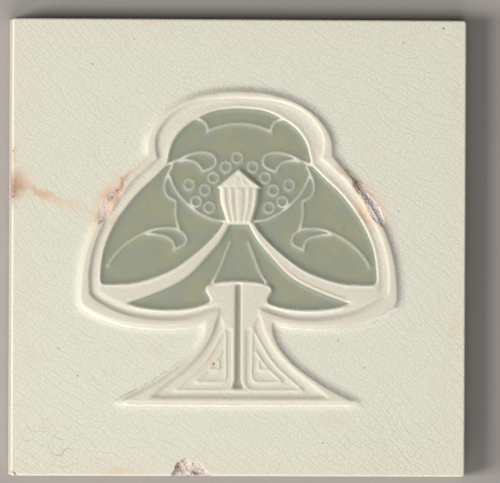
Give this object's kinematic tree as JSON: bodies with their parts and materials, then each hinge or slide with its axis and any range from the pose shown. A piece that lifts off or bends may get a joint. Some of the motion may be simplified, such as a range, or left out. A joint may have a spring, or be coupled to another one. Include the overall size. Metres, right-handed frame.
{
  "type": "art nouveau tile",
  "caption": "Square glazed ceramic wall tile with a stylised flower in low relief, cream ground, green glazed hollows, crazed glaze and small chips.",
  "frame": {"origin": "centre of the tile's back, on the surface that it lies on", "axes": "+Z out of the glazed face, +Y towards the top of the flower, +X to the right when the face is looked at"},
  "size_m": [0.1524, 0.1524, 0.0109],
  "materials": {
    "glazed_tile": "glossy"
  },
  "bodies": {
    "root": {"tile": "glazed_tile"}
  },
  "joints": []
}
